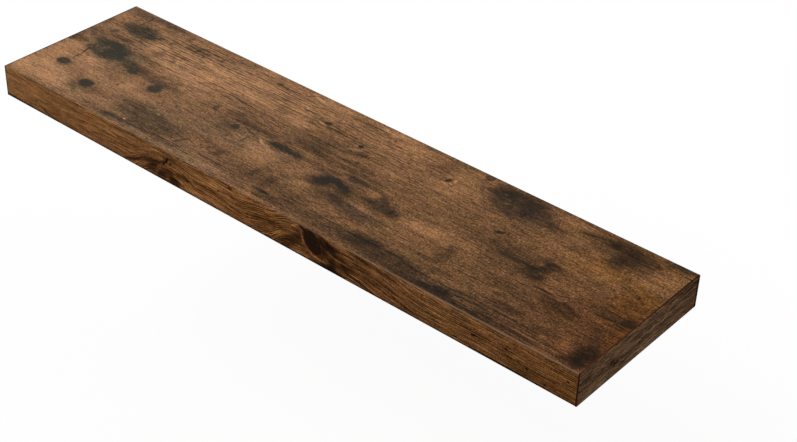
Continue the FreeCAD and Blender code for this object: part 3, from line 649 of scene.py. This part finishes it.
def front_band_material():
    """The orange brown plank decor of the long front band, with its two knots."""
    graph = new_material("front_band_foil")
    along, across, place = face_place(graph, (0, 1, shelf_low.x), (2, -1, shelf_high.z))
    size = (LENGTH, THICKNESS)
    soft = wander(graph, place, (10, 1.6), (3, 0.8))
    firm = wander(graph, place, (4, 0.6))
    rise = add_marks(graph, soft, size, FRONT_RISE_SHARES, 0.0, 0.0)
    lifted = graph.vector("MULTIPLY_ADD", graph.point(0.0, rise, 0.0), (0.0, THICKNESS, 0.0), place)
    uneven = wander(graph, place, (6, 1.5), (2, 0.5))
    squared, below = oval_distance(graph, uneven, *oval(size, *FRONT_KNOT_SHARES))
    distance = graph.math("SQRT", squared)
    # Near the big knot the grain runs round it
    ringed = graph.point(along, graph.math("MULTIPLY", distance, 11 * MM), 0.0)
    bent = graph.mix(graph.between(distance, 1.35, 1.0), lifted, ringed)
    clouds, blotches, flecks, mottle, _ = patina(graph, place, FRONT_SHIFT)
    lines, fibres, bands = wood_grain(graph, bent, 2.3, 12.0, FRONT_SHIFT, 20, 1.1)
    pores = graph.between(fibres, PORES_START, PORES_FULL)
    # The grain is faint at the left end and clearest between the knots
    clear = graph.between(along, 0.02 * LENGTH, 0.45 * LENGTH, 0.62, 1.25)
    clear = graph.math("ADD", clear, graph.between(along, 0.60 * LENGTH, 0.95 * LENGTH, 0.0, -0.32))
    streaks = graph.weigh(0.0, (lines, -0.26), (fibres, 1.10), (pores, -0.08), (bands, 0.60))
    fine = graph.weigh(0.045, (flecks, 0.20), (mottle, graph.stretch(along, 0.0, LENGTH, 0.52, 0.70)))
    fine = graph.weigh(fine, (streaks, clear))
    value = graph.stretch(along, 0.15 * LENGTH, 0.75 * LENGTH, 0.475, 0.385)
    value = graph.weigh(value, (clouds, 0.20), (blotches, 0.25))
    value = add_marks(graph, soft, size, FRONT_LIGHT_SHARES, 0.10, value)
    value = add_marks(graph, soft, size, FRONT_DARK_SHARES, 0.12, value)
    value = add_marks(graph, firm, size, FRONT_SPECK_SHARES, 0.35, value)
    # The big knot: a dark core, a faint halo and a rim that is paler below
    core = graph.between(distance, 1.10, 0.72)
    depth = graph.weigh(-0.90, (mottle, 0.4), (blotches, 0.4))
    halo = graph.between(distance, 2.1, 1.2)
    value = graph.weigh(value, (halo, -0.09))
    value = graph.weigh(value, (graph.math("MULTIPLY", value, core), depth))
    rim = graph.math("MULTIPLY", graph.between(distance, 1.00, 1.08), graph.between(distance, 1.24, 1.12))
    value = graph.weigh(value, (rim, graph.stretch(below, 0.0, 0.8, -0.04, 0.20)))
    fine = graph.math("MULTIPLY", fine, graph.stretch(core, 0.0, 1.0, 1.0, 0.55))
    value = graph.weigh(value, (fine, graph.stretch(value, 0.08, 0.45, 0.30, 1.0)))
    top_arris = graph.between(across, 1.3 * MM, 0.5 * MM)
    # Painted shade: darker towards the bottom arris, where the rounded edge turns away from the light
    low_arris_shade = graph.between(across, THICKNESS - 2.8 * MM, THICKNESS - 1.2 * MM)
    fading = graph.stretch(along, 0.4 * LENGTH, 0.8 * LENGTH, 0.0, 0.10)
    value = graph.weigh(value, (top_arris, fading), (low_arris_shade, -0.22))
    warmth = graph.stretch(along, 0.0, 0.45 * LENGTH, -0.04, 0.24)
    cooler = graph.stretch(along, 0.55 * LENGTH, 0.8 * LENGTH, 0.0, -0.26)
    warmer = graph.stretch(along, 0.85 * LENGTH, LENGTH, 0.0, 0.22)
    warmth = graph.weigh(warmth, (cooler, 1.0), (warmer, 1.0), (clouds, 0.9), (bands, 0.5),
                         (top_arris, -0.80))
    colour = decor_colour(graph, place, FRONT_STOPS, value, warmth, FRONT_HUE_SHIFT)
    # The band's top arris shows as a paler, greyer line towards the right
    pale_top_line = graph.math("MULTIPLY", top_arris, graph.stretch(along, 0.45 * LENGTH, 0.8 * LENGTH, 0.0, 0.75))
    colour = graph.mix(pale_top_line, colour, tone(122, 99, 81))
    roughness = graph.weigh(0.52, (fibres, 0.16), (mottle, 0.10))
    height = graph.weigh(0.5, (fibres, 1.0), (lines, -0.3), (bands, 0.5), (pores, -0.3))
    return finish_material(graph, colour, roughness, height, 0.10, 0.35, {"Specular IOR Level": 0.012})


# Marks on an end band, with along from the front edge and across from the top
END_MARK_SHARES = {
    -16: [(29.5, 63, 3.4, 12)],
    -12: [(95, 14, 6, 9), (26.5, 45, 2.6, 8)],
    -10: [(88, 16, 9, 6, 4)],
    -8: [(38, 10, 5, 6), (82, 94, 6, 4)],
    -6: [(46, 36, 6, 10), (94, 60, 10, 70), (35, 62, 2.6, 5)],
    -5: [(66, 76, 10, 6, 4)],
    -4: [(32, 50, 12, 24)],
    -3: [(10, 34, 12, 12), (8, 60, 12, 30)],
    5: [(60, 88, 16, 10), (50, 4, 40, 5)],
    6: [(70, 32, 5, 2.2), (88, 84, 14, 18)],
    7: [(50, 82, 14, 14), (64, 11.5, 8, 2.6)],
    9: [(12, 84, 13, 16)],
    10: [(50, 12, 9, 3, -2)],
    12: [(79, 20, 5, 3, 6), (49, 49, 8, 3, 2), (61, 48.5, 8, 3, -3), (94, 48.5, 7, 3, 3)],
    13: [(37, 46.5, 8, 3.2, 1), (85, 44.5, 8, 3, 2)],
    15: [(74, 44, 9, 3.2, -2)],
}


def end_band_material():
    """The darker grey brown decor of the end bands, with the band's own red brown edges."""
    graph = new_material("end_band_foil")
    along, across, place = face_place(graph, (1, 1, shelf_low.y), (2, -1, shelf_high.z))
    soft = wander(graph, place, (14, 3.0), (4, 1.0))
    clouds, blotches, flecks, mottle, _ = patina(graph, place, END_SHIFT)
    lines, fibres, bands = wood_grain(graph, soft, 4.2, 12.0, END_SHIFT, 13, 1.1)
    value = graph.weigh(0.305, (lines, 0.10), (fibres, 0.80), (bands, 0.36), (clouds, 0.20),
                        (blotches, 0.20), (mottle, 0.42), (flecks, 0.20))
    value = add_marks(graph, soft, (DEPTH, THICKNESS), END_MARK_SHARES, 0.05, value)
    # Painted shade: darker along the bottom arris. The strip along the rear edge is darker too.
    low_arris_shade = graph.between(across, THICKNESS - 1.4 * MM, THICKNESS - 0.4 * MM)
    rear_arris = graph.between(along, DEPTH - 5.4 * MM, DEPTH - 3.4 * MM)
    value = graph.weigh(value, (low_arris_shade, -0.10), (rear_arris, -0.20))
    warmth = graph.stretch(along, 0.6 * DEPTH, DEPTH, 0.0, 0.16)
    warmth = graph.weigh(warmth, (clouds, 0.3), (blotches, 0.25))
    face_colour = decor_colour(graph, place, END_STOPS, value, warmth, END_HUE_SHIFT)
    # The band's thin edges: red brown along the top, maroon down the front
    sideways = graph.math("ABSOLUTE", graph.axes(graph.object_place())[0])
    edge = graph.between(sideways, LENGTH / 2 - 0.20 * MM, LENGTH / 2 - 0.65 * MM)
    tone_share = graph.weigh(graph.stretch(along, 0.0, DEPTH), (blotches, 1.6))
    tone_share = graph.math("MULTIPLY", tone_share, 1.0, clamp=True)
    long_edge = graph.mix(tone_share, tone(78, 40, 24), tone(47, 26, 16))
    front_edge = graph.between(along, 1.6 * MM, 0.6 * MM)
    edge_colour = graph.mix(front_edge, long_edge, tone(46, 14, 11))
    below = graph.between(across, 1.0 * MM, 3.0 * MM)
    rear_edge = graph.math("MULTIPLY", rear_arris, below)
    edge_colour = graph.mix(rear_edge, edge_colour, tone(38, 27, 20))
    colour = graph.mix(edge, face_colour, edge_colour)
    roughness = graph.weigh(0.50, (fibres, 0.14), (mottle, 0.10))
    height = graph.weigh(0.5, (fibres, 0.8), (lines, 0.10), (bands, 0.4))
    return finish_material(graph, colour, roughness, height, 0.10, 0.30, {"Specular IOR Level": 0.0})


def fibreboard_material():
    """Raw high-density fibreboard: dense brown, with fine pale and dark fibres."""
    graph = new_material("raw_fibreboard")
    fibres = object_noise(graph, (1.1, 1.1, 0.35), 4.0, 0.7)
    clouds = object_noise(graph, (18, 18, 6), 3.0)
    value = graph.weigh(0.0, (fibres, 0.75), (clouds, 0.25))
    stops = ((0.30, (0.20, 0.125, 0.07)), (0.5, (0.30, 0.20, 0.115)), (0.68, (0.44, 0.32, 0.20)))
    colour = graph.ramp(value, stops)
    return finish_material(graph, colour, graph.stretch(fibres, 0.3, 0.7, 0.75, 0.9), fibres, 0.12, 0.4)


def particleboard_material():
    """Raw particleboard: flat chips of many shades pressed together, with dark specks of bark and gaps."""
    graph = new_material("raw_particleboard")
    spot = object_spot(graph, 4.2, 3.2, 1.3)
    bent = graph.vector("MULTIPLY_ADD", graph.noise(spot, 3.0, colour=True), (1.3, 1.3, 1.3), spot)
    chip = graph.axes(graph.cells(bent))[0]
    small_chip = graph.axes(graph.cells(graph.vector("MULTIPLY", bent, (2.3, 2.3, 2.3))))[1]
    dust = object_noise(graph, (0.7, 0.7, 0.4), 3.0, 0.7)
    value = graph.weigh(-0.12, (chip, 0.48), (small_chip, 0.30), (dust, 0.50))
    stops = ((0.06, (0.10, 0.06, 0.03)), (0.20, (0.36, 0.22, 0.10)), (0.45, (0.58, 0.395, 0.215)),
             (0.80, (0.77, 0.58, 0.36)))
    colour = graph.ramp(value, stops)
    return finish_material(graph, colour, graph.stretch(dust, 0.3, 0.7, 0.8, 0.95), value, 0.5, 0.6)


def kraft_paper_material():
    """Unbleached paper of the honeycomb, with flecks of darker fibre."""
    graph = new_material("kraft_paper_web")
    flecks = object_noise(graph, (1.6, 1.6, 0.5), 4.0, 0.75)
    clouds = object_noise(graph, (14, 14, 14))
    value = graph.weigh(0.0, (flecks, 0.7), (clouds, 0.3))
    stops = ((0.30, (0.36, 0.22, 0.11)), (0.5, (0.48, 0.31, 0.165)), (0.70, (0.60, 0.43, 0.26)))
    colour = graph.ramp(value, stops)
    return finish_material(graph, colour, graph.stretch(flecks, 0.3, 0.7, 0.72, 0.88), flecks, 0.06, 0.3)


def bracket_steel_material():
    """Zinc-plated steel with a faint mottle and drawing marks, browned by heat beside the welds."""
    graph = new_material("zinc_plated_steel")
    spangle = graph.axes(graph.cells(object_spot(graph, 5, 5, 5)))[0]
    drawn = object_noise(graph, (40, 0.8, 0.8), 3.0, 0.6)
    haze = object_noise(graph, (16, 16, 16), 4.0, 0.6)
    value = graph.weigh(0.0, (spangle, 0.12), (drawn, 0.40), (haze, 0.48))
    colour = graph.ramp(value, ((0.25, (0.40, 0.41, 0.42)), (0.75, (0.74, 0.75, 0.76))))
    depth = graph.weigh(graph.axes(graph.object_place())[1], (haze, 6 * MM))
    ahead = graph.between(depth, PLATE_FRONT + 3.4 * MM, PLATE_FRONT + 1.8 * MM)
    near = graph.between(depth, PLATE_FRONT - 11 * MM, PLATE_FRONT - 2 * MM)
    heat = graph.math("MULTIPLY", graph.math("MULTIPLY", ahead, near), 0.6)
    colour = graph.mix(heat, colour, (0.30, 0.23, 0.17))
    roughness = graph.stretch(value, 0.2, 0.8, 0.46, 0.30)
    return finish_material(graph, colour, roughness, drawn, 0.03, 0.25, {"Metallic": 1.0})


def dull_metal(name, size, detail_roughness, dark, light, rough, smooth, height_size, strength, metallic):
    """A metal mottled by one noise of this size. dark and light each have their place in the noise and a
    colour."""
    graph = new_material(name)
    wear = object_noise(graph, (size, size, size), 4.0, detail_roughness)
    colour = graph.ramp(wear, (dark, light))
    roughness = graph.stretch(wear, 0.3, 0.7, rough, smooth)
    return finish_material(graph, colour, roughness, wear, height_size, strength, {"Metallic": metallic})


def screw_steel_material():
    """Blackened steel of the locking screws, a little rubbed."""
    return dull_metal("black_oxide_steel", 1.4, 0.65, (0.35, (0.012, 0.012, 0.014)),
                      (0.72, (0.055, 0.053, 0.050)), 0.50, 0.36, 0.02, 0.3, 0.8)


def insert_zinc_material():
    """Die-cast zinc of the threaded inserts, dull and slightly pitted."""
    return dull_metal("die_cast_zinc", 0.9, 0.7, (0.30, (0.30, 0.295, 0.28)),
                      (0.70, (0.50, 0.49, 0.46)), 0.52, 0.38, 0.03, 0.35, 1.0)


def rings_of(size_out, rounding):
    """How far each ring of a rounded edge lies behind the outer face and inside the outline, back first."""
    rings = [(size_out, 0.0)]
    if not rounding:
        return [*rings, (0.0, 0.0)]
    for step in range(ARC_STEPS + 1):
        angle = math.pi / 2 * step / ARC_STEPS
        rings.append((rounding * (1 - math.sin(angle)), rounding * (1 - math.cos(angle))))
    return rings


def rounded_skin(name, low, high, axis, side, rounding, round_ends=True):
    """A thin cover sheet between two corners. Its outer face looks along axis, to the side of 1 or -1, and
    the long arrises of that face are rounded, with the short ones too if round_ends. The map is laid out
    like an opened box, with the outer face over most of it."""
    u_axis, v_axis = sorted((a for a in range(3) if a != axis), key=lambda a: low[a] - high[a])
    face = high[axis] if side > 0 else low[axis]
    rings = rings_of(high[axis] - low[axis], rounding)
    paths = [0.0]
    for (depth_a, inset_a), (depth_b, inset_b) in zip(rings, rings[1:]):
        paths.append(paths[-1] + math.hypot(depth_b - depth_a, inset_b - inset_a))
    u_margin_share, v_margin_share, back_share = 0.012, 0.05, 0.03
    points, spots = [], []
    for (depth, inset), path in zip(rings, paths):
        share = path / paths[-1]
        for at_u, at_v in ((0, 0), (1, 0), (1, 1), (0, 1)):
            point = [0.0, 0.0, 0.0]
            point[axis] = face - side * depth
            inset_u = inset if round_ends else 0.0
            point[u_axis] = (high[u_axis] - inset_u) if at_u else (low[u_axis] + inset_u)
            point[v_axis] = (high[v_axis] - inset) if at_v else (low[v_axis] + inset)
            points.append(point)
            u = u_margin_share * share
            v = v_margin_share * share
            v_low = 2 * back_share + v
            spots.append((1 - u if at_u else u, 1 - v if at_v else v_low))
    corners = 4
    faces = []
    for ring in range(len(rings) - 1):
        for corner in range(corners):
            following = (corner + 1) % corners
            first, second = ring * corners, (ring + 1) * corners
            faces.append((first + corner, first + following, second + following, second + corner))
    last = (len(rings) - 1) * corners
    faces.append(tuple(range(last, last + corners)))
    faces.append(tuple(range(corners)))
    mesh = bpy.data.meshes.new(name)
    mesh.from_pydata(points, [], faces)
    layer = mesh.uv_layers.new(name="OFBake")
    for polygon in mesh.polygons:
        is_back = polygon.index == len(faces) - 1
        for loop in polygon.loop_indices:
            vertex = mesh.loops[loop].vertex_index
            u, v = spots[vertex]
            if is_back:
                v = back_share if v > 0.5 else 0.0
            layer.data[loop].uv = (u, v)
        polygon.use_smooth = bool(rounding) and corners <= polygon.index < len(faces) - 2
    shape = bmesh.new()
    shape.from_mesh(mesh)
    bmesh.ops.recalc_face_normals(shape, faces=shape.faces)
    shape.to_mesh(mesh)
    shape.free()
    piece = bpy.data.objects.new(name, mesh)
    bpy.context.scene.collection.objects.link(piece)
    return piece


def dress(piece, body, node, material):
    """Puts a piece in a node's place."""
    piece.data.materials.append(material)
    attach(piece, body)
    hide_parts(node)


def make_skins():
    """The sheets and bands that show, each in its node's place."""
    low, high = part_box("top_decor")
    top = rounded_skin("top_decor_sheet", low, high, 2, 1, 0.0)
    dress(top, "shelf", "top_decor", top_decor_material())
    low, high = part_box("front_edge_band")
    front = rounded_skin("front_band_strip", low, high, 1, -1, FRONT_ROUNDING, round_ends=False)
    dress(front, "shelf", "front_edge_band", front_band_material())
    end_material = end_band_material()
    for side, sign in (("left", -1), ("right", 1)):
        low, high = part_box(f"{side}_edge_band")
        end = rounded_skin(f"{side}_band_strip", low, high, 0, sign, END_ROUNDING)
        dress(end, "shelf", f"{side}_edge_band", end_material)


# The material of each slot that stays on the frame's own pieces
SLOT_MATERIALS = {
    "bottom_decor": bottom_decor_material,
    "fibreboard": fibreboard_material,
    "particleboard": particleboard_material,
    "kraft_paper": kraft_paper_material,
    "bracket_steel": bracket_steel_material,
    "screw_steel": screw_steel_material,
    "insert_zinc": insert_zinc_material,
}


def dress_frame():
    """Gives the frame's own pieces their materials, slot by slot."""
    made = {}
    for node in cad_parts.values():
        for place in node.material_slots:
            slot = place.material.name if place.material else None
            if slot in SLOT_MATERIALS:
                made[slot] = made.get(slot) or SLOT_MATERIALS[slot]()
                place.material = made[slot]


def place_camera():
    """The camera at the photograph's viewing angle."""
    azimuth, elevation, roll = (math.radians(angle) for angle in (39.173, 34.992, 2.150))
    distance = 1.6787
    target = Vector((0.1108, -0.1080, 0.0))
    picture_width, focal_pixels, sensor = 797, 1650.1, 36.0
    back = Vector((math.sin(azimuth) * math.cos(elevation), -math.cos(azimuth) * math.cos(elevation),
                   math.sin(elevation)))
    right = Vector((math.cos(azimuth), math.sin(azimuth), 0.0))
    up = back.cross(right)
    turned_right = right * math.cos(roll) + up * math.sin(roll)
    turned_up = up * math.cos(roll) - right * math.sin(roll)
    data = bpy.data.cameras.new("camera")
    data.sensor_fit = "HORIZONTAL"
    data.sensor_width = sensor
    data.lens = focal_pixels / picture_width * sensor
    camera = bpy.data.objects.new("camera", data)
    bpy.context.scene.collection.objects.link(camera)
    turn = Matrix((turned_right, turned_up, back)).transposed().to_4x4()
    camera.matrix_world = Matrix.Translation(target + back * distance) @ turn
    bpy.context.scene.camera = camera


def seen_directly(graph):
    """1 for what the camera sees, straight or in a reflection or through glass, and 0 for other light."""
    path = graph.add("LightPath")
    seen = graph.math("MAXIMUM", path.outputs["Is Camera Ray"], path.outputs["Is Glossy Ray"])
    return graph.math("MAXIMUM", seen, path.outputs["Is Transmission Ray"])


def build_studio():
    """A pale floor, a white surround and soft lamps."""
    scene = bpy.context.scene
    scene.view_settings.view_transform = "Standard"
    white, pale = (1.0, 1.0, 1.0), (0.80, 0.80, 0.80)
    world = bpy.data.worlds.new("studio")
    graph = empty_graph(world)
    ambient = 0.56
    strength = graph.stretch(seen_directly(graph), 0.0, 1.0, ambient, 1.0)
    background = graph.add("Background", {"Color": white, "Strength": strength})
    graph.add("OutputWorld", {"Surface": background.outputs[0]})
    scene.world = world
    for name, direction, power, spread in (
        ("key", (-0.42, -0.62, 0.80), 1.62, 50.0),
        ("fill", (0.75, 0.55, 0.60), 0.46, 70.0),
    ):
        data = bpy.data.lights.new(name, "SUN")
        data.energy = power
        data.angle = math.radians(spread)
        lamp = bpy.data.objects.new(name, data)
        lamp.rotation_euler = Vector(direction).to_track_quat("Z", "Y").to_euler()
        scene.collection.objects.link(lamp)
    floor_drop, floor_size = 0.32, 30.0
    half = floor_size / 2
    level = shelf_low.z - floor_drop
    mesh = bpy.data.meshes.new("floor")
    corners = [(-half, -half, level), (half, -half, level), (half, half, level), (-half, half, level)]
    mesh.from_pydata(corners, [], [(0, 1, 2, 3)])
    floor = bpy.data.objects.new("floor", mesh)
    scene.collection.objects.link(floor)
    graph = new_material("floor")
    glow_share = 0.86
    seen = seen_directly(graph)
    matte = graph.add("BsdfDiffuse", {"Color": graph.mix(seen, pale, white)})
    glow = graph.add("Emission", {"Color": white, "Strength": 1.0})
    factor = graph.math("MULTIPLY", seen, glow_share)
    lit = graph.add("MixShader", {0: factor, 1: matte.outputs[0], 2: glow.outputs[0]})
    clear = graph.add("BsdfTransparent")
    behind = graph.add("NewGeometry").outputs["Backfacing"]
    surface = graph.add("MixShader", {0: behind, 1: lit.outputs[0], 2: clear.outputs[0]})
    graph.add("OutputMaterial", {"Surface": surface.outputs[0]})
    floor.data.materials.append(graph.owner)


place_camera()
build_studio()
dress_frame()
make_skins()
